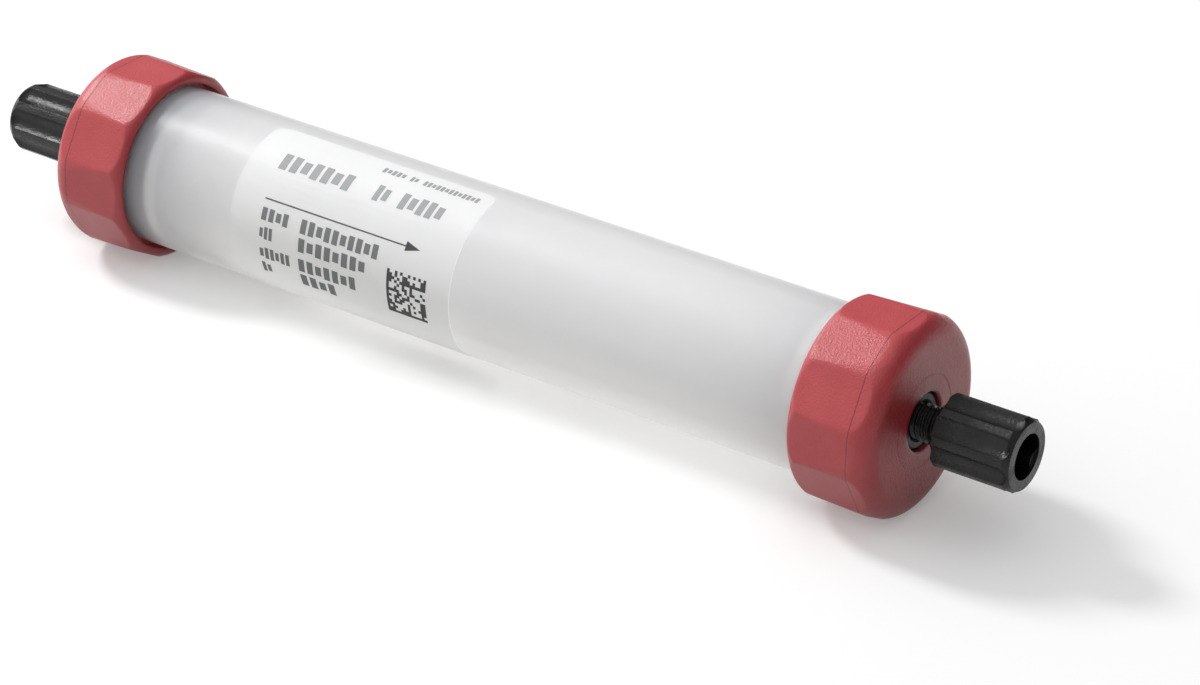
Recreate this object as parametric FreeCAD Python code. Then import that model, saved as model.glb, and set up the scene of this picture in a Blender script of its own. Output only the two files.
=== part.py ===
import FreeCAD, Part
import math
import os

# A prepacked chromatography column, lying on the facets of its two screw caps.
# The column's axis runs along X at axis_height over the table, with the inlet
# at -X and the outlet at +X. Sizes are in millimetres.
# Each end is drawn once, with u as the distance from the middle of the column
# outwards along +X. The inlet end is the same end turned half round about Z.

V = FreeCAD.Vector

# Packed bed and tube
bed_diameter = 16.0
bed_length = 100.0
tube_outer_diameter = 22.0
tube_lead_in = 0.8
tube_lead_in_depth = 0.35

# Frit and flow distributor, carried by the end piece
frit_thickness = 1.8
frit_clearance = 0.1
net_thickness = 0.3
net_margin = 0.6
net_clearance = 0.05
net_slot_count = 12
net_slot_width = 0.5
net_hub_radius = 1.6
net_rim_width = 0.7

# End piece: spigot in the tube, flange on the tube's end, boss in the cap's hole
spigot_length = 8.0
spigot_clearance = 0.1
spigot_chamfer = 0.3
flange_thread_gap = 0.2
flange_thickness = 2.6
flange_step_height = 0.4
flange_step_width = 1.1
boss_clearance = 0.2
boss_recess = 0.4
boss_edge_radius = 0.3
channel_radius = 0.4

# O-ring and its groove, set back from the spigot's inner face
o_ring_width = 1.9
o_ring_height = 1.48
o_ring_groove_setback = 2.8
o_ring_groove_width = 2.3
o_ring_bore_clearance = 0.02

# Coarse right-hand thread that holds the cap on the tube
thread_pitch = 2.0
thread_depth = 0.65
thread_length = 4.9
thread_root_width = 0.9
thread_flank_angle = 25.0
thread_run_out = 0.8
thread_run_out_depth = 0.1
thread_clearance = 0.05
thread_flank_clearance = 0.1
cap_thread_setback = 0.35

# Cap. Its walls are measured from the tube, and its drafted flats from the level ones
cap_length = 12.0
cap_end_wall = 2.75
cap_flat_wall = 1.78
cap_draft_rise = 0.32
cap_draft = 0.385
cap_edge_radius = 3.0
cap_blend_depth = 2.5
cap_mouth_gap = 0.64
cap_rim_width = 0.6
cap_rim_radius = 2.2
cap_corner_round = 0.15
cap_hole_radius = 3.91
cap_face_ring_radius = 6.16
cap_face_ring_width = 0.16
snap_bead_overlap = 0.16
snap_bead_width = 0.7
snap_bead_clearance = 0.15
flange_side_clearance = 0.1

# 10-32 finger-tight port and stop plug
port_radius = 2.45
port_depth = 7.0
port_chamfer = 0.35
plug_thread_pitch = 0.794
plug_stem_radius = 2.05
plug_stem_length = 10.75
plug_tip_chamfer = 0.4
plug_head_radius = 4.87
plug_head_length = 11.0
plug_head_taper = 0.5
plug_head_edge_radius = 0.5
plug_head_taper_length = 0.8
plug_flute_count = 8
plug_flute_depth = 0.8
plug_land_angle = 12.3
plug_flute_end = 1.45
plug_hollow_radius = 2.98
plug_hollow_depth = 6.5
plug_rib_half_width = 1.25
plug_rib_height = 0.8
plug_rib_root = 0.2
plug_rib_setback = 0.4
plug_rib_angle = 112.5
outlet_plug_turn = 35.3
inlet_plug_turn = 41.4
inlet_plug_backed_off = plug_thread_pitch

# Label film, from its upper edge round the side that faces the reader
label_thickness = 0.08
label_length = 36.2
label_right_edge = 1.0
label_upper_edge_angle = 88.9
label_height = 31.5
label_corner_radius = 2.0

# Places worked out from the sizes above
bed_radius = bed_diameter / 2
tube_radius = tube_outer_diameter / 2
u_frit = bed_length / 2
u_spigot = u_frit + frit_thickness
u_tube_end = u_spigot + spigot_length
u_flange_top = u_tube_end + flange_thickness
u_face = u_flange_top + cap_end_wall
u_mouth = u_face - cap_length
u_parting = u_face - cap_edge_radius
u_thread_start = u_tube_end - thread_length
u_boss_top = u_face - boss_recess
u_port_floor = u_boss_top - port_depth
spigot_radius = bed_radius - spigot_clearance
net_radius = bed_radius - net_margin
groove_floor_radius = bed_radius - o_ring_bore_clearance - o_ring_height
boss_radius = cap_hole_radius - boss_clearance
thread_root_radius = tube_radius - thread_depth
thread_flank_slope = math.tan(math.radians(thread_flank_angle))
thread_overcut = thread_depth / 4
cap_thread_crest = thread_root_radius + thread_clearance
cap_thread_root = tube_radius + thread_clearance
u_cap_thread = u_thread_start + cap_thread_setback
u_cap_thread_end = u_tube_end - thread_run_out
flange_radius = cap_thread_crest - flange_thread_gap
flange_step_radius = flange_radius - flange_step_height
cap_flat_apothem = tube_radius + cap_flat_wall
cap_draft_apothem = cap_flat_apothem + cap_draft_rise
cap_draft_apothem_mouth = cap_draft_apothem - cap_draft
cap_blend_apothem = cap_draft_apothem - cap_blend_depth
cap_mouth_radius = tube_radius + cap_mouth_gap
axis_height = cap_flat_apothem


def closed_face(start, steps):
    """Flat face in the u-r half plane. A step is an end point, or a pair of
    points for an arc through the first to the second."""
    first = V(start[0], 0, start[1])
    edges = []
    here = first
    for step in steps:
        if isinstance(step[0], tuple):
            middle = V(step[0][0], 0, step[0][1])
            end = V(step[1][0], 0, step[1][1])
            edges.append(Part.Arc(here, middle, end).toShape())
        else:
            end = V(step[0], 0, step[1])
            edges.append(Part.makeLine(here, end))
        here = end
    if not here.isEqual(first, 1e-6):
        edges.append(Part.makeLine(here, first))
    return Part.Face(Part.Wire(edges))


def turned(start, *steps):
    """Solid turned about the column's axis from its section."""
    return closed_face(start, list(steps)).revolve(V(0, 0, 0), V(1, 0, 0), 360)


def arc_corner(corner, radius):
    """Middle and end of a quarter-round that leaves a face of constant r at
    corner radius and ends on a face of constant u."""
    u, r = corner
    slope = math.sqrt(0.5)
    middle = (u - radius + radius * slope, r - radius + radius * slope)
    return (middle, (u, r - radius))


def turn_about_axis(shape, degrees):
    shape = shape.copy()
    shape.rotate(V(0, 0, 0), V(1, 0, 0), degrees)
    return shape


def thread_groove(start, end, low, high, half_low, half_high):
    """Cutter that follows the right-hand thread: its section reaches from radius
    low to high, with half its width given at both."""
    section = Part.makePolygon([
        V(low, 0, -half_low), V(high, 0, -half_high), V(high, 0, half_high),
        V(low, 0, half_low), V(low, 0, -half_low)])
    helix = Part.makeHelix(thread_pitch, end - start, (low + high) / 2)
    groove = Part.Wire(helix).makePipeShell([section], True, True)
    groove.rotate(V(0, 0, 0), V(0, 1, 0), 90)
    groove.translate(V(start, 0, 0))
    return groove


def tube_groove_half_width(radius):
    return thread_root_width / 2 + (radius - thread_root_radius) * thread_flank_slope


def tube_thread_groove():
    low = thread_root_radius
    high = tube_radius + thread_overcut
    return thread_groove(
        u_thread_start + thread_run_out / 2, u_tube_end + thread_pitch, low, high,
        tube_groove_half_width(low), tube_groove_half_width(high))


def cap_thread_groove():
    """Half a pitch away from the tube's groove, so that it takes the tube's ridge."""
    low = cap_thread_crest - thread_overcut
    high = cap_thread_root
    ridge = thread_pitch / 2 + thread_flank_clearance
    start = u_cap_thread - thread_pitch
    end = u_cap_thread_end + thread_run_out / 2
    groove = thread_groove(
        start, u_cap_thread_end + thread_run_out, low, high,
        ridge - tube_groove_half_width(low), ridge - tube_groove_half_width(high))
    within = turned((start, 0), (start, cap_flat_apothem), (end, cap_flat_apothem), (end, 0))
    return turn_about_axis(groove, thread_phase()).common(within)


def thread_phase():
    """Turn that puts the cap's groove on the tube's ridge."""
    tube_start = u_thread_start + thread_run_out / 2
    cap_start = u_cap_thread - thread_pitch
    return 360 * (cap_start - tube_start + thread_pitch / 2) / thread_pitch


def column_tube():
    lead = tube_lead_in
    deep = bed_radius + tube_lead_in_depth
    run_out = u_thread_start + thread_run_out
    run_out_radius = thread_root_radius - thread_run_out_depth
    body = turned(
        (0, bed_radius), (0, tube_radius),
        (u_thread_start, tube_radius), (u_thread_start, run_out_radius),
        (run_out, run_out_radius), (run_out, tube_radius),
        (u_tube_end - tube_radius + run_out_radius, tube_radius), (u_tube_end, run_out_radius),
        (u_tube_end, deep), (u_tube_end - lead, bed_radius))
    half = body.cut(tube_thread_groove())
    return half.fuse(other_end(half)).removeSplitter()


def other_end(shape):
    shape = shape.copy()
    shape.rotate(V(0, 0, 0), V(0, 0, 1), 180)
    return shape


def packed_bed():
    return turned((-u_frit, 0), (-u_frit, bed_radius), (u_frit, bed_radius), (u_frit, 0))


def product_label():
    """Thin film with rounded corners, wrapped on the tube."""
    left = label_right_edge - label_length
    wrap = math.degrees(label_height / tube_radius)
    outer = tube_radius + label_thickness
    strip = closed_face((left, tube_radius), [
        (left, outer), (label_right_edge, outer), (label_right_edge, tube_radius)])
    film = strip.revolve(V(0, 0, 0), V(1, 0, 0), wrap)
    for edge, way in ((left, -1), (label_right_edge, 1)):
        film = film.cut(film_corner(edge, way, 1))
        film = film.cut(turn_about_axis(film_corner(edge, way, -1), wrap))
    # the strip was drawn on top, which is 90 degrees round from +Y
    return turn_about_axis(film, label_upper_edge_angle - 90)


def film_corner(edge, way, side):
    """Waste outside one rounded corner, as it lies on top of the tube."""
    reach = label_corner_radius + label_thickness
    height = tube_radius + 2 * label_thickness
    centre_u = edge - way * label_corner_radius
    centre_y = -side * label_corner_radius
    block_u = min(centre_u, centre_u + way * reach)
    block_y = min(centre_y, centre_y + side * reach)
    block = Part.makeBox(reach, reach, height, V(block_u, block_y, 0))
    return block.cut(Part.makeCylinder(label_corner_radius, height, V(centre_u, centre_y, 0)))


def end_piece():
    """Spigot, flange and boss in one, with the threaded port and flow channel."""
    groove = u_spigot + o_ring_groove_setback
    groove_end = groove + o_ring_groove_width
    step = u_tube_end + flange_step_width
    net_pocket = net_radius + net_clearance
    return turned(
        (u_spigot + net_thickness, channel_radius), (u_spigot + net_thickness, net_pocket),
        (u_spigot, net_pocket), (u_spigot, spigot_radius - spigot_chamfer),
        (u_spigot + spigot_chamfer, spigot_radius),
        (groove, spigot_radius), (groove, groove_floor_radius),
        (groove_end, groove_floor_radius), (groove_end, spigot_radius),
        (u_tube_end, spigot_radius), (u_tube_end, flange_step_radius),
        (step, flange_step_radius), (step, flange_radius),
        (u_flange_top, flange_radius), (u_flange_top, boss_radius),
        (u_boss_top - boss_edge_radius, boss_radius),
        arc_corner((u_boss_top, boss_radius), boss_edge_radius),
        (u_boss_top, port_radius + port_chamfer), (u_boss_top - port_chamfer, port_radius),
        (u_port_floor, port_radius), (u_port_floor, channel_radius))


def o_ring():
    """Ring squeezed between its groove and the tube's bore."""
    middle = u_spigot + o_ring_groove_setback + o_ring_groove_width / 2
    low = groove_floor_radius
    high = low + o_ring_height
    half = o_ring_height / 2
    flat = (o_ring_width - o_ring_height) / 2
    return turned(
        (middle - flat, high), (middle + flat, high),
        ((middle + flat + half, low + half), (middle + flat, low)),
        (middle - flat, low), ((middle - flat - half, low + half), (middle - flat, high)))


def frit():
    edge = bed_radius - frit_clearance
    return turned((u_frit, 0), (u_frit, edge), (u_spigot, edge), (u_spigot, 0))


def distributor():
    """Slotted disc that spreads the flow from the channel over the frit."""
    disc = turned(
        (u_spigot, 0), (u_spigot, net_radius),
        (u_spigot + net_thickness, net_radius), (u_spigot + net_thickness, 0))
    slot_length = net_radius - net_rim_width - net_hub_radius
    slot = Part.makeBox(
        net_thickness, net_slot_width, slot_length,
        V(u_spigot, -net_slot_width / 2, net_hub_radius))
    for k in range(net_slot_count):
        disc = disc.cut(turn_about_axis(slot, k * 360.0 / net_slot_count))
    return disc


def flat_prism(apothem):
    """Six flats parallel to the axis, two of them level."""
    corner = apothem / math.cos(math.radians(30))
    points = []
    for k in range(7):
        angle = math.radians(60 * k)
        points.append(V(u_mouth, corner * math.cos(angle), corner * math.sin(angle)))
    return Part.Face(Part.makePolygon(points)).extrude(V(cap_length, 0, 0))


def drafted_bar(across):
    """Bar with two opposite drafted flats that bend over into the dome."""
    middle_u = u_parting + cap_edge_radius * math.sqrt(0.5)
    middle_h = cap_blend_apothem + (cap_draft_apothem - cap_blend_apothem) * math.sqrt(0.5)
    half = closed_face((u_mouth, 0), [
        (u_mouth, cap_draft_apothem_mouth), (u_parting, cap_draft_apothem),
        ((middle_u, middle_h), (u_face, cap_blend_apothem)), (u_face, 0)])
    upper = half.extrude(V(0, 2 * across, 0))
    upper.translate(V(0, -across, 0))
    return upper.fuse(turn_about_axis(upper, 180)).removeSplitter()


def cap_form():
    """Outer form: a domed turned body cut by twelve flats, six of them drafted.
    The turned body takes a little off each corner between the flats."""
    corner_radius = cap_outer_radius() - cap_corner_round
    form = turned(
        (u_mouth, 0), (u_mouth, cap_mouth_radius + cap_rim_width), cap_rim_arc(corner_radius),
        (u_parting, corner_radius),
        arc_corner((u_face, corner_radius), cap_edge_radius), (u_face, 0))
    form = form.common(flat_prism(cap_flat_apothem))
    for k in range(3):
        bar = turn_about_axis(drafted_bar(2 * corner_radius), 30 + 60 * k)
        form = form.common(bar)
    return form


def cap_rim_arc(corner_radius):
    """Middle and end of the round that runs from the mouth's face out to the corners."""
    drop = corner_radius - cap_mouth_radius - cap_rim_width
    turn = math.acos(1 - drop / cap_rim_radius)
    end_u = u_mouth + cap_rim_radius * math.sin(turn)
    middle_u = end_u - cap_rim_radius * math.sin(turn / 2)
    middle_r = corner_radius - cap_rim_radius * (1 - math.cos(turn / 2))
    return ((middle_u, middle_r), (end_u, corner_radius))


def cap_outer_radius():
    """Radius on which both kinds of flat meet at the parting line."""
    turn = math.radians(30)
    side = (cap_draft_apothem / cap_flat_apothem - math.cos(turn)) / math.sin(turn)
    return cap_flat_apothem * math.sqrt(1 + side * side)


def cap():
    run_out_radius = cap_thread_root + thread_run_out_depth
    pocket = flange_radius + flange_side_clearance
    bead = flange_radius - snap_bead_overlap
    bead_top = u_tube_end + flange_step_width - snap_bead_clearance
    bead_foot = bead_top - snap_bead_width
    inside = turned(
        (u_mouth, 0), (u_mouth, cap_mouth_radius), (u_cap_thread, cap_mouth_radius),
        (u_cap_thread, cap_thread_crest), (u_cap_thread_end, cap_thread_crest),
        (u_cap_thread_end, run_out_radius), (bead_foot, run_out_radius),
        (bead_foot, bead), (bead_top, bead),
        (bead_top, pocket), (u_flange_top, pocket), (u_flange_top, cap_hole_radius),
        (u_face, cap_hole_radius), (u_face, 0))
    half = cap_face_ring_width / 2
    ring = cap_face_ring_radius
    face_ring = turned((u_face, ring - half), (u_face, ring + half), (u_face - half, ring))
    return cap_form().cut(inside).cut(face_ring).cut(cap_thread_groove())


def plug_head():
    """Fluted grip: eight shallow flutes, tapered end, blind hollow with two ribs."""
    start = u_port_floor + plug_stem_length
    end = start + plug_head_length
    taper = end - plug_head_taper_length
    floor = end - plug_hollow_depth
    edge = plug_head_edge_radius
    bulge = edge * (1 - math.sqrt(0.5))
    head = turned(
        (start, 0), (start, plug_head_radius - edge),
        ((start + bulge, plug_head_radius - bulge), (start + edge, plug_head_radius)),
        (taper, plug_head_radius),
        (end, plug_head_radius - plug_head_taper), (end, plug_hollow_radius),
        (floor, plug_hollow_radius), (floor, 0))
    flute = flute_cutter(start, end - plug_flute_end)
    for k in range(plug_flute_count):
        head = head.cut(turn_about_axis(flute, (k + 0.5) * 360.0 / plug_flute_count))
    for side in (0, 180):
        rib = hollow_rib(floor, plug_hollow_depth - plug_rib_setback)
        head = head.fuse(turn_about_axis(rib, plug_rib_angle + side))
    return head.removeSplitter()


def hollow_rib(floor, length):
    """Rounded rib on the wall of the head's hollow."""
    wide = plug_rib_half_width
    high = plug_rib_height
    radius = (wide ** 2 + high ** 2) / (2 * high)
    centre = plug_hollow_radius - high + radius
    bar = Part.makeCylinder(radius, length, V(floor, centre, 0), V(1, 0, 0))
    room = Part.makeCylinder(plug_hollow_radius + plug_rib_root, length, V(floor, 0, 0), V(1, 0, 0))
    return bar.common(room)


def flute_cutter(start, end):
    """Round bar with a ball end, set so that it leaves the wanted land and depth."""
    half_angle = math.radians(360.0 / plug_flute_count - plug_land_angle) / 2
    half_width = plug_head_radius * math.sin(half_angle)
    dip = plug_flute_depth - plug_head_radius * (1 - math.cos(half_angle))
    radius = (half_width ** 2 + dip ** 2) / (2 * dip)
    centre = plug_head_radius - plug_flute_depth + radius
    bar = Part.makeCylinder(radius, end - start, V(start, centre, 0), V(1, 0, 0))
    return bar.fuse(Part.makeSphere(radius, V(end, centre, 0)))


def stop_plug(turn):
    """One-piece plug: fluted head and the stem that carries the fine thread."""
    tip = u_port_floor
    start = u_port_floor + plug_stem_length
    stem = turned(
        (tip, 0), (tip, plug_stem_radius - plug_tip_chamfer),
        (tip + plug_tip_chamfer, plug_stem_radius), (start, plug_stem_radius), (start, 0))
    return turn_about_axis(plug_head().fuse(stem).removeSplitter(), turn)


def place(shape, inlet):
    """Puts a piece that was drawn at the outlet end where it belongs."""
    shape = other_end(shape) if inlet else shape.copy()
    shape.translate(V(0, 0, axis_height))
    return shape


def save(name, shape):
    solids = shape.Solids
    if len(solids) == 1:
        shape = solids[0]
    print(name, "solids", len(solids), "valid", shape.isValid(), "mm3", round(shape.Volume, 1))
    shape.exportStep("parts/" + name + ".step")


def main():
    os.makedirs("parts", exist_ok=True)
    save("column_tube", place(column_tube(), False))
    save("packed_bed", place(packed_bed(), False))
    save("product_label", place(product_label(), False))
    pieces = {
        "end_piece": end_piece(), "o_ring": o_ring(), "frit": frit(),
        "distributor": distributor(), "cap": cap()}
    for side in ("inlet", "outlet"):
        for name, shape in pieces.items():
            save(side + "_" + name, place(shape, side == "inlet"))
    inlet_plug = stop_plug(inlet_plug_turn)
    inlet_plug.translate(V(inlet_plug_backed_off, 0, 0))
    save("inlet_stop_plug", place(inlet_plug, True))
    save("outlet_stop_plug", place(stop_plug(outlet_plug_turn), False))


main()
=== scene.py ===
import math
import random

import bmesh
import bpy
from mathutils import Matrix, Vector


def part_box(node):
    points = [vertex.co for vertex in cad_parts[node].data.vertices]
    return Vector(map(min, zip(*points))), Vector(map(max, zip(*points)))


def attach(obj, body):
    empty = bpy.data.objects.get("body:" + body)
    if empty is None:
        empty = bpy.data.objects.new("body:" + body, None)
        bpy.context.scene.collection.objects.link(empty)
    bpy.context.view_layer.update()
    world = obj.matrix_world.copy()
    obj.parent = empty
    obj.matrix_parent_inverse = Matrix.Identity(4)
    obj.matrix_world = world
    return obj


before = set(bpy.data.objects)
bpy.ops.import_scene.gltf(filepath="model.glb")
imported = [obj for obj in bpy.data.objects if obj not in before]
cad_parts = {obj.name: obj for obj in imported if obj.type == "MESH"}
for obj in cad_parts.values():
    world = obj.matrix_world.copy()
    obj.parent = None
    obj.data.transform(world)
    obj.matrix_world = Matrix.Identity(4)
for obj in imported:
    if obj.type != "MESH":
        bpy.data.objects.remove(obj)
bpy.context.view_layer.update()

# A prepacked chromatography column lying on its screw caps. Lengths are in metres, as in the
# frame, and angles are in degrees.
MM = 0.001

# Camera, as the column was photographed
CAMERA_PLACE = Vector((278.4, -376.7, 254.0)) * MM
CAMERA_AIM = Vector((21.9, -7.1, 12.8)) * MM
CAMERA_ROLL = 1.04
CAMERA_LENS = 121.9
SENSOR_WIDTH = 36.0

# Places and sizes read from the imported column
tube_low, tube_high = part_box("column_tube")
TUBE_RADIUS = (tube_high.y - tube_low.y) / 2
TUBE_AXIS = Vector((0, 0, (tube_low.z + tube_high.z) / 2))
OUTLET_CAP_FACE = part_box("outlet_cap")[1].x
OUTLET_PLUG_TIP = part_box("outlet_stop_plug")[0].x
INLET_PLUG_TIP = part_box("inlet_stop_plug")[1].x
CAP_EDGE_RADIUS = 3.0 * MM
PARTING_PLANE = OUTLET_CAP_FACE - CAP_EDGE_RADIUS

# Print on the label, just above the film. Its angles round the tube are measured from +Y over
# the top.
PRINT_HEIGHT = 0.095 * MM
PRINT_RADIUS = TUBE_RADIUS + PRINT_HEIGHT
ARROW_ANGLE = 148.7
CODE_CELLS = 15

# Light: one softbox from the inlet's side
KEY_DISTANCE = 0.9
KEY_ELEVATION = 42.5
KEY_SIZE = 0.2
KEY_LEVEL = 0.61

# Light of the white room, as three parts that are added: from the horizon to straight above,
# from the inlet's side to the outlet's, and from the front to the back
ROOM_HEIGHT = (0.14, 0.88)
ROOM_SIDE = (0.32, -0.68)
ROOM_DEPTH = (0.66, -0.2)

# The table throws less light back on the column than it shows to the camera
TABLE_HALF = 3.0
TABLE_BOUNCE = "92928F"

# Share of the table's look that is plain white: under the column's shadow, and far from it
TABLE_WHITE_SHARE = 0.25
TABLE_NEAR = 0.25
TABLE_FAR = 0.6

# Fine thread on the stop plugs, 10-32
STEM_PITCH = 0.794 * MM
STEM_CREST_RADIUS = 2.415 * MM
STEM_ROOT_RADIUS = 2.07 * MM
STEM_LENGTH = 10.75 * MM
STEM_TIP_CHAMFER = 0.5 * MM
STEM_ROWS_PER_TURN = 16.0


def colour(text):
    """Linear colour from an sRGB hex value."""
    parts = [int(text[i:i + 2], 16) / 255 for i in (0, 2, 4)]
    linear = [p / 12.92 if p <= 0.04045 else ((p + 0.055) / 1.055) ** 2.4 for p in parts]
    return (*linear, 1.0)


def add(tree, kind, settings=None, **links):
    """Adds a node. settings are its properties, and links are its inputs: a socket
    to link from, or a value. Spaces in an input's name are written as underscores."""
    node = tree.nodes.new(kind)
    for name, value in (settings or {}).items():
        setattr(node, name, value)
    for name, value in links.items():
        key = int(name[1:]) if name[0] == "i" and name[1:].isdigit() else name.replace("_", " ")
        socket = node.inputs[key]
        if isinstance(value, bpy.types.NodeSocket):
            tree.links.new(value, socket)
        else:
            socket.default_value = value
    return node


def material(name):
    made = bpy.data.materials.new(name)
    made.use_nodes = True
    made.node_tree.nodes.clear()
    return made, made.node_tree


def finish_surface(tree, shader):
    add(tree, "ShaderNodeOutputMaterial", Surface=shader.outputs[0])


def place(tree):
    """Place in the part's own frame, in metres."""
    return add(tree, "ShaderNodeTexCoord").outputs["Object"]


def noise(tree, where, size, detail=2.0, roughness=0.5, stretch=None):
    """Noise whose grains are about size metres across."""
    if stretch is not None:
        where = add(tree, "ShaderNodeMapping", Vector=where, Scale=stretch).outputs[0]
    return add(
        tree, "ShaderNodeTexNoise", Vector=where, Scale=1 / size, Detail=detail,
        Roughness=roughness)


def ramp(tree, value, low, high, start, end):
    """Maps value from low..high to start..end, held at the ends."""
    return add(
        tree, "ShaderNodeMapRange", Value=value, i1=low, i2=high, i3=start, i4=end).outputs[0]


def maths(tree, operation, first, second=0.0):
    """Result of one sum on two values."""
    return add(tree, "ShaderNodeMath", {"operation": operation}, i0=first, i1=second).outputs[0]


def bumped(tree, height, strength, distance, **more):
    """Normal of a surface with this height."""
    return add(
        tree, "ShaderNodeBump", Height=height, Strength=strength, Distance=distance,
        **more).outputs[0]


def mixed(tree, share, first, second):
    """Colour between two others."""
    node = add(tree, "ShaderNodeMix", {"data_type": "RGBA"})
    tree.links.new(share, node.inputs[0])
    for value, key in ((first, 6), (second, 7)):
        if isinstance(value, bpy.types.NodeSocket):
            tree.links.new(value, node.inputs[key])
        else:
            node.inputs[key].default_value = value
    return node.outputs[2]


def moulded_red_polypropylene():
    """Spark-eroded mould: a fine grain that sparkles where it catches the lamp,
    rounded edges, and the mould's parting seam round the foot of the dome: a small groove, with
    painted shade along it."""
    made, tree = material("moulded_red_polypropylene")
    where = place(tree)
    grain = noise(tree, where, 0.26 * MM, 4.0, 0.6)
    cloud = noise(tree, where, 6 * MM, 2.0)
    x = add(tree, "ShaderNodeSeparateXYZ", Vector=where).outputs[0]
    off = maths(tree, "SUBTRACT", maths(tree, "ABSOLUTE", x), PARTING_PLANE)
    gap = maths(tree, "ABSOLUTE", off)
    # Mask of the mould's parting groove round the foot of the dome: it drives the groove's bump,
    # and also a painted shade along it
    parting_groove_and_shade = ramp(tree, gap, 0.05 * MM, 0.1 * MM, 1.0, 0.0)
    shade = ramp(tree, cloud.outputs[0], 0.35, 0.65, 0.0, 1.0)
    body = mixed(tree, shade, colour("BB3F45"), colour("C1464B"))
    # Painted shade: the parting groove is drawn in a darker red (8C3034), standing in for the
    # shade that falls in it
    tint = mixed(tree, parting_groove_and_shade, body, colour("8C3034"))
    edge = add(tree, "ShaderNodeBevel", {"samples": 8}, Radius=0.9 * MM)
    rough = ramp(tree, grain.outputs[0], 0.35, 0.65, 0.28, 0.42)
    bump = bumped(tree, grain.outputs[0], 1.0, 0.08 * MM, Normal=edge.outputs[0])
    seam = add(
        tree, "ShaderNodeBump", {"invert": True}, Height=parting_groove_and_shade, Strength=0.6,
        Distance=0.05 * MM, Normal=bump)
    shader = add(
        tree, "ShaderNodeBsdfPrincipled", Base_Color=tint, Roughness=rough,
        IOR=1.55, Normal=seam.outputs[0])
    finish_surface(tree, shader)
    return made


def moulded_black_polypropylene(name, hex_value, low, high, grain_size, strength):
    """Grained mould, with smoother patches where the plastic met it first."""
    made, tree = material(name)
    where = place(tree)
    grain = noise(tree, where, grain_size, 3.0, 0.6)
    patch = noise(tree, where, 2.5 * MM, 3.0, 0.6, stretch=(0.6, 1.0, 1.0))
    rough = ramp(tree, patch.outputs[0], 0.4, 0.62, low, high)
    edge = add(tree, "ShaderNodeBevel", {"samples": 8}, Radius=0.1 * MM)
    bump = bumped(tree, grain.outputs[0], strength, 0.08 * MM, Normal=edge.outputs[0])
    shader = add(
        tree, "ShaderNodeBsdfPrincipled", Base_Color=colour(hex_value), Roughness=rough,
        IOR=1.42, Normal=bump)
    finish_surface(tree, shader)
    return made


def passing_light(tree, surface, share):
    """Lets part of the light through: the back of a wall is clear, so that each wall
    scatters once, and a shadow ray keeps this share of its light at the front."""
    back = add(tree, "ShaderNodeNewGeometry").outputs["Backfacing"]
    shadow = add(tree, "ShaderNodeLightPath").outputs["Is Shadow Ray"]
    clear = maths(tree, "MAXIMUM", back, maths(tree, "MULTIPLY", shadow, share))
    white = add(tree, "ShaderNodeBsdfTransparent")
    return add(tree, "ShaderNodeMixShader", i0=clear, i1=surface.outputs[0], i2=white.outputs[0])


def milky(tree, skin_hex, depth_hex, through, normal):
    """White that scatters light back at its skin and through its depth."""
    skin = add(tree, "ShaderNodeBsdfDiffuse", Color=colour(skin_hex), Normal=normal)
    depth = add(tree, "ShaderNodeBsdfTranslucent", Color=colour(depth_hex), Normal=normal)
    return add(tree, "ShaderNodeMixShader", i0=through, i1=skin.outputs[0], i2=depth.outputs[0])


def glossed(tree, body, ior, rough, normal):
    """The gloss of a smooth skin over a body."""
    shine = add(
        tree, "ShaderNodeBsdfGlossy", Color=colour("FFFFFF"), Roughness=rough, Normal=normal)
    facing = add(tree, "ShaderNodeFresnel", IOR=ior, Normal=normal).outputs[0]
    return add(tree, "ShaderNodeMixShader", i0=facing, i1=body.outputs[0], i2=shine.outputs[0])


def natural_polypropylene():
    """Extruded, unfilled and milky: most light scatters through the wall, so the
    black end pieces behind it show as a soft dark band."""
    made, tree = material("natural_polypropylene")
    lines = noise(tree, place(tree), 0.5 * MM, 3.0, 0.6, stretch=(1.0, 0.05, 0.05))
    bump = bumped(tree, lines.outputs[0], 0.25, 0.03 * MM)
    scattered = milky(tree, "E5ECFE", "F9F6F1", 0.6, bump)
    clear = add(
        tree, "ShaderNodeBsdfRefraction", Color=colour("F8F8F6"), Roughness=0.5, IOR=1.45,
        Normal=bump)
    body = add(tree, "ShaderNodeMixShader", i0=0.45, i1=scattered.outputs[0], i2=clear.outputs[0])
    finish_surface(tree, passing_light(tree, glossed(tree, body, 1.35, 0.33, bump), 0.75))
    return made


def label_film():
    """Thin white film: a little light comes through it from the tube."""
    made, tree = material("label_film")
    grain = noise(tree, place(tree), 0.5 * MM)
    bump = bumped(tree, grain.outputs[0], 0.05, 0.05 * MM)
    body = milky(tree, "F6F6F6", "F8F8F6", 0.5, bump)
    finish_surface(tree, passing_light(tree, glossed(tree, body, 1.22, 0.45, bump), 0.96))
    return made


def wet_gel_bed():
    """Packed wet beads: white, and light scatters far into them."""
    made, tree = material("wet_gel_bed")
    beads = noise(tree, place(tree), 0.2 * MM, 2.0)
    bump = bumped(tree, beads.outputs[0], 0.2, 0.05 * MM)
    body = milky(tree, "F4F3F1", "F9F7F4", 0.56, bump)
    finish_surface(tree, passing_light(tree, body, 0.37))
    return made


def plain(name, hex_value, rough, grain_size, strength):
    """One colour with a fine grain, for rubber, sintered or moulded white plastic, and ink."""
    made, tree = material(name)
    grain = noise(tree, place(tree), grain_size, 3.0)
    bump = bumped(tree, grain.outputs[0], strength, 0.05 * MM)
    shader = add(
        tree, "ShaderNodeBsdfPrincipled", Base_Color=colour(hex_value), Roughness=rough,
        IOR=1.5, Normal=bump)
    finish_surface(tree, shader)
    return made


def dress(node, look):
    """Gives a solid its material."""
    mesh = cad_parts[node].data
    mesh.materials.clear()
    mesh.materials.append(look)


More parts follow.
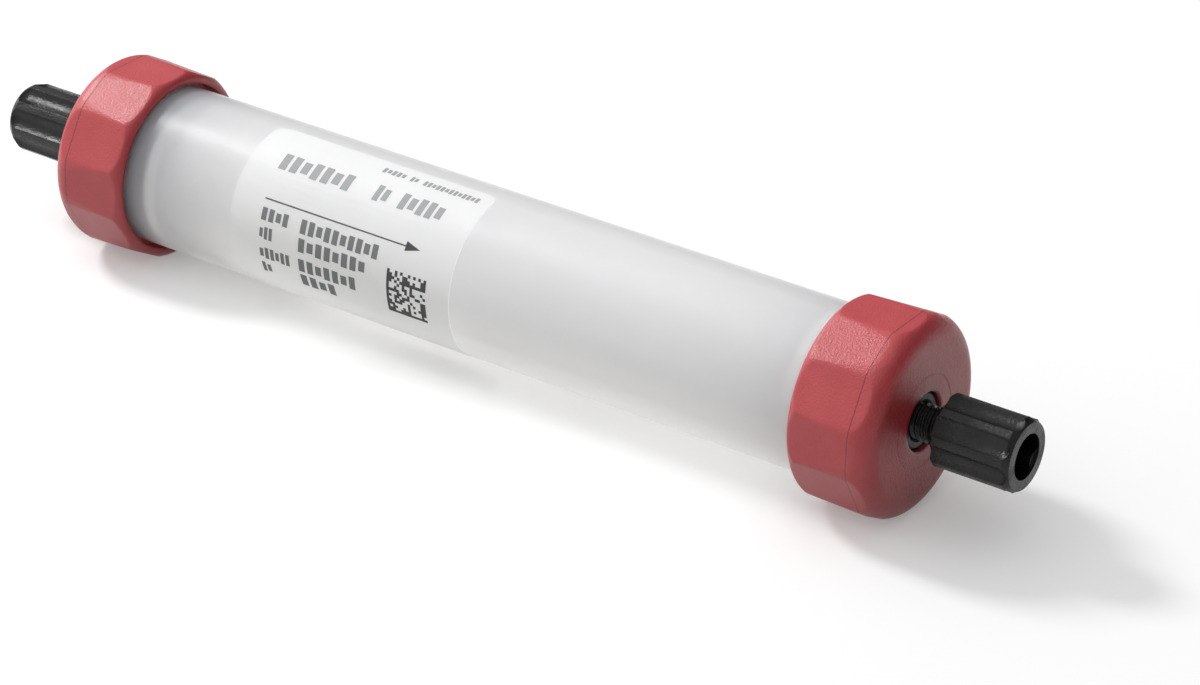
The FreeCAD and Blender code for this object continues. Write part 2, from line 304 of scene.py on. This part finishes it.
def mesh_piece(name, mesh, look, body):
    """Piece that only the scene has, on one of the column's bodies."""
    piece = bpy.data.objects.new(name, mesh)
    bpy.context.scene.collection.objects.link(piece)
    mesh.materials.clear()
    mesh.materials.append(look)
    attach(piece, body)
    return piece


def round_tube(x, angle, radius):
    """Point on a cylinder about the column's axis."""
    turn = math.radians(angle)
    return TUBE_AXIS + Vector((x, radius * math.cos(turn), radius * math.sin(turn)))


def make_camera():
    data = bpy.data.cameras.new("camera")
    data.lens = CAMERA_LENS
    data.sensor_width = SENSOR_WIDTH
    camera = bpy.data.objects.new("camera", data)
    bpy.context.scene.collection.objects.link(camera)
    look = (CAMERA_AIM - CAMERA_PLACE).to_track_quat("-Z", "Y").to_matrix()
    roll = Matrix.Rotation(math.radians(CAMERA_ROLL), 3, "Z")
    camera.location = CAMERA_PLACE
    camera.rotation_euler = (look @ roll).to_euler()
    bpy.context.scene.camera = camera


def make_key_light():
    """Round softbox on the inlet's side, aimed at the column's middle."""
    data = bpy.data.lights.new("key_softbox", "AREA")
    data.shape = "DISK"
    data.size = KEY_SIZE
    data.energy = KEY_LEVEL * math.pi ** 2 * KEY_DISTANCE ** 2
    lamp = bpy.data.objects.new("key_softbox", data)
    bpy.context.scene.collection.objects.link(lamp)
    turn = math.radians(KEY_ELEVATION)
    lamp.location = Vector((-math.cos(turn), 0, math.sin(turn))) * KEY_DISTANCE
    lamp.rotation_euler = (-lamp.location).to_track_quat("-Z", "Y").to_euler()


def make_room():
    """Soft light from all round, and plain white where the camera sees the room itself."""
    world = bpy.data.worlds.new("studio")
    bpy.context.scene.world = world
    world.use_nodes = True
    tree = world.node_tree
    tree.nodes.clear()
    way = add(tree, "ShaderNodeTexCoord").outputs["Generated"]
    way = add(tree, "ShaderNodeSeparateXYZ", Vector=way).outputs
    high = ramp(tree, way[2], 0.0, 1.0, *ROOM_HEIGHT)
    side = ramp(tree, way[0], -1.0, 1.0, *ROOM_SIDE)
    deep = ramp(tree, way[1], -1.0, 1.0, *ROOM_DEPTH)
    total = maths(tree, "ADD", maths(tree, "ADD", high, side), deep)
    level = ramp(tree, total, 0.0, 1.0, 0.0, 1.0)
    seen = add(tree, "ShaderNodeLightPath").outputs["Is Camera Ray"]
    back = add(
        tree, "ShaderNodeBackground", Color=colour("FFFFFF"),
        Strength=maths(tree, "MAXIMUM", level, seen))
    add(tree, "ShaderNodeOutputWorld", Surface=back.outputs[0])


def white_table():
    """Matte white that keeps the column's shadow, and whiter far from the column."""
    made, tree = material("white_table")
    path = add(tree, "ShaderNodeLightPath").outputs
    seen = maths(tree, "MAXIMUM", path["Is Camera Ray"], path["Is Glossy Ray"])
    seen = maths(tree, "MAXIMUM", seen, path["Is Transmission Ray"])
    tint = mixed(tree, seen, colour(TABLE_BOUNCE), colour("FFFFFF"))
    lit = add(tree, "ShaderNodeBsdfDiffuse", Color=tint).outputs[0]
    white = add(tree, "ShaderNodeEmission", Color=colour("FFFFFF"), Strength=1.0).outputs[0]
    reach = add(tree, "ShaderNodeVectorMath", {"operation": "LENGTH"}, i0=place(tree))
    plain_share = ramp(
        tree, reach.outputs["Value"], TABLE_NEAR, TABLE_FAR, TABLE_WHITE_SHARE, 1.0)
    share = maths(tree, "MULTIPLY", seen, plain_share)
    finish_surface(tree, add(tree, "ShaderNodeMixShader", i0=share, i1=lit, i2=white))
    return made


def make_table():
    mesh = bpy.data.meshes.new("table_top")
    signs = ((-1, -1), (1, -1), (1, 1), (-1, 1))
    corners = [(x * TABLE_HALF, y * TABLE_HALF, 0) for x, y in signs]
    mesh.from_pydata(corners, [], [(0, 1, 2, 3)])
    table = bpy.data.objects.new("table_top", mesh)
    bpy.context.scene.collection.objects.link(table)
    mesh.materials.append(white_table())


def stem_thread_tree():
    """Turned surface whose radius follows a V thread along its length."""
    tree = bpy.data.node_groups.new("stem_thread", "GeometryNodeTree")
    for name, default in (
            ("Pitch", STEM_PITCH), ("Crest", STEM_CREST_RADIUS), ("Root", STEM_ROOT_RADIUS),
            ("Length", STEM_LENGTH), ("Tip", STEM_TIP_CHAMFER)):
        socket = tree.interface.new_socket(name, in_out="INPUT", socket_type="NodeSocketFloat")
        socket.default_value = default
    tree.interface.new_socket("Material", in_out="INPUT", socket_type="NodeSocketMaterial")
    tree.interface.new_socket("Geometry", in_out="OUTPUT", socket_type="NodeSocketGeometry")
    given = add(tree, "NodeGroupInput").outputs

    turns = maths(tree, "DIVIDE", given["Length"], given["Pitch"])
    rows = maths(tree, "MULTIPLY", turns, STEM_ROWS_PER_TURN)
    body = add(tree, "GeometryNodeMeshCylinder", {"fill_type": "NGON"},
               Vertices=64, Side_Segments=rows, Radius=1.0, Depth=given["Length"])
    where = add(tree, "GeometryNodeInputPosition").outputs[0]
    spot = add(tree, "ShaderNodeSeparateXYZ", Vector=where).outputs
    turn = maths(tree, "DIVIDE", maths(tree, "ARCTAN2", spot[1], spot[0]), 2 * math.pi)
    along = maths(tree, "DIVIDE", spot[2], given["Pitch"])
    step = maths(tree, "FRACT", maths(tree, "SUBTRACT", along, turn))
    vee = maths(tree, "MULTIPLY", maths(tree, "ABSOLUTE", maths(tree, "SUBTRACT", step, 0.5)), 2.0)
    crest = add(tree, "ShaderNodeMapRange", Value=vee, i1=0.12, i2=0.88,
                i3=given["Root"], i4=given["Crest"]).outputs[0]
    end = maths(tree, "ADD", spot[2], maths(tree, "DIVIDE", given["Length"], 2.0))
    tip = maths(tree, "ADD", maths(tree, "SUBTRACT", given["Crest"], given["Tip"]), end)
    radius = maths(tree, "MINIMUM", crest, tip)
    put = add(tree, "ShaderNodeCombineXYZ", X=maths(tree, "MULTIPLY", spot[0], radius),
              Y=maths(tree, "MULTIPLY", spot[1], radius), Z=spot[2])
    moved = add(tree, "GeometryNodeSetPosition", Geometry=body.outputs[0], Position=put.outputs[0])
    real = add(tree, "GeometryNodeRealizeInstances", Geometry=moved.outputs[0])
    look = add(
        tree, "GeometryNodeSetMaterial", Geometry=real.outputs[0], Material=given["Material"])
    add(tree, "NodeGroupOutput", Geometry=look.outputs[0])
    return tree


def made_by(tree, name, values):
    """Mesh that a geometry node tree makes with these inputs."""
    holder = bpy.data.objects.new(name, bpy.data.meshes.new(name))
    bpy.context.scene.collection.objects.link(holder)
    modifier = holder.modifiers.new("make", "NODES")
    modifier.node_group = tree
    for item in tree.interface.items_tree:
        if item.in_out == "INPUT" and item.name in values:
            modifier[item.identifier] = values[item.name]
    graph = bpy.context.evaluated_depsgraph_get()
    mesh = bpy.data.meshes.new_from_object(holder.evaluated_get(graph))
    bpy.data.objects.remove(holder)
    mesh.name = name
    return mesh


def stem_threads(look):
    """Puts a thread on each plug's plain stem, from its tip towards its head."""
    tree = stem_thread_tree()
    for side, tip, way in (("inlet", INLET_PLUG_TIP, -1), ("outlet", OUTLET_PLUG_TIP, 1)):
        mesh = made_by(tree, side + "_plug_thread", {"Material": look})
        turn = Matrix.Rotation(way * math.pi / 2, 4, "Y")
        middle = Vector((tip + way * STEM_LENGTH / 2, 0, TUBE_AXIS.z))
        mesh.transform(Matrix.Translation(middle) @ turn)
        mesh_piece(side + "_plug_thread", mesh, look, side + "_plug")


def curved_patch(work, left, right, top, bottom, radius, step=2.0):
    """Strip on the tube between two places along it and two angles round it."""
    count = max(1, round(abs(bottom - top) / step))
    rows = []
    for k in range(count + 1):
        angle = top + (bottom - top) * k / count
        rows.append([work.verts.new(round_tube(x, angle, radius)) for x in (left, right)])
    for upper, lower in zip(rows, rows[1:]):
        work.faces.new((upper[0], lower[0], lower[1], upper[1]))


def degrees_of(width):
    """Angle that a width takes up round the tube."""
    return math.degrees(width / TUBE_RADIUS)


def printed_bar(work, left, right, middle, height):
    """Bar between two places along the tube, about an angle round it. Sizes are in millimetres."""
    half = degrees_of(height * MM) / 2
    curved_patch(work, left * MM, right * MM, middle - half, middle + half, PRINT_RADIUS)


def printed_word(work, left, right, middle, height, count):
    """Plain blocks in place of a word's letters, some lower than the others."""
    pitch = (right - left) / count
    for k in range(count):
        tall = height * (0.72 + 0.28 * ((k * 7 + count) % 3 != 0))
        start = left + k * pitch
        printed_bar(work, start, start + 0.7 * pitch, middle, tall)


def flow_arrow(work):
    """Long thin bar along the tube with a three-cornered head."""
    printed_bar(work, -30.2, -6.8, ARROW_ANGLE, 0.18)
    half = degrees_of(0.65 * MM)
    corners = ((-7.0, -half), (-7.0, half), (-4.7, 0.0))
    work.faces.new([
        work.verts.new(round_tube(x * MM, ARROW_ANGLE + turn, PRINT_RADIUS))
        for x, turn in corners])


def code_block(work):
    """Square of dark and clear cells that stands for a code and carries none."""
    left, right, top, bottom = -9.0, -2.7, 166.7, 199.4
    wide = (right - left) / CODE_CELLS
    tall = (bottom - top) / CODE_CELLS
    chance = random.Random(5)
    for i in range(CODE_CELLS):
        for j in range(CODE_CELLS):
            if chance.random() < 0.5 or i == 0 or j == CODE_CELLS - 1:
                x = left + wide * i
                turn = top + tall * j
                curved_patch(work, x * MM, (x + wide) * MM, turn, turn + tall, PRINT_RADIUS)


def label_print(row_ink, line_ink, title_ink):
    """Flow arrow, plain blocks for the lines of text, and a square of cells. A word's ends
    are in millimetres along the tube, and its last number counts its blocks."""
    rows, lines, title = bmesh.new(), bmesh.new(), bmesh.new()
    for left, right, count in ((-30.4, -18.4, 7), (-14.9, -12.4, 2), (-10.8, -3.6, 5)):
        printed_word(title, left, right, 120.0, 2.5, count)
    for left, right, count in ((-16.4, -12.6, 5), (-11.9, -10.6, 2), (-9.8, -0.8, 13)):
        printed_word(title, left, right, 99.7, 1.0, count)
    for angle, word_end, letters, value_end, digits in (
            (159.2, -25.4, 4, -10.5, 10), (172.4, -27.8, 3, -12.2, 8),
            (187.5, -24.9, 6, -13.8, 7), (200.0, -28.4, 2, -17.5, 4)):
        printed_word(rows, -30.1, word_end, angle, 1.7, letters)
        printed_word(rows, -23.6, value_end, angle, 1.9, digits)
    flow_arrow(lines)
    code_block(lines)
    for name, work, look in (
            ("label_rows", rows, row_ink), ("label_arrow_and_code", lines, line_ink),
            ("label_title", title, title_ink)):
        mesh = bpy.data.meshes.new(name)
        work.to_mesh(mesh)
        work.free()
        mesh_piece(name, mesh, look, "column")


def main():
    red = moulded_red_polypropylene()
    boss_black = moulded_black_polypropylene(
        "moulded_black_end_piece", "0A0B0A", 0.4, 0.55, 0.3 * MM, 0.2)
    plug_black = moulded_black_polypropylene(
        "moulded_black_plug", "0C0D0C", 0.14, 0.42, 0.3 * MM, 1.0)
    dress("column_tube", natural_polypropylene())
    dress("packed_bed", wet_gel_bed())
    dress("product_label", label_film())
    ring = plain("o_ring_rubber", "181818", 0.6, 0.1 * MM, 0.2)
    sinter = plain("sintered_polyethylene", "E8E8E4", 0.8, 0.15 * MM, 0.6)
    disc = plain("moulded_white_disc", "E6E6E6", 0.5, 0.3 * MM, 0.1)
    for side in ("inlet", "outlet"):
        dress(side + "_cap", red)
        dress(side + "_end_piece", boss_black)
        dress(side + "_stop_plug", plug_black)
        dress(side + "_o_ring", ring)
        dress(side + "_frit", sinter)
        dress(side + "_distributor", disc)
    stem_threads(plug_black)
    label_print(
        plain("row_ink", "7C7E80", 0.6, 0.2 * MM, 0.05),
        plain("line_ink", "3E4042", 0.6, 0.2 * MM, 0.05),
        plain("title_ink", "9C9EA0", 0.6, 0.2 * MM, 0.05))
    make_table()
    make_key_light()
    make_room()
    make_camera()
    bpy.context.scene.view_settings.view_transform = "Standard"


main()
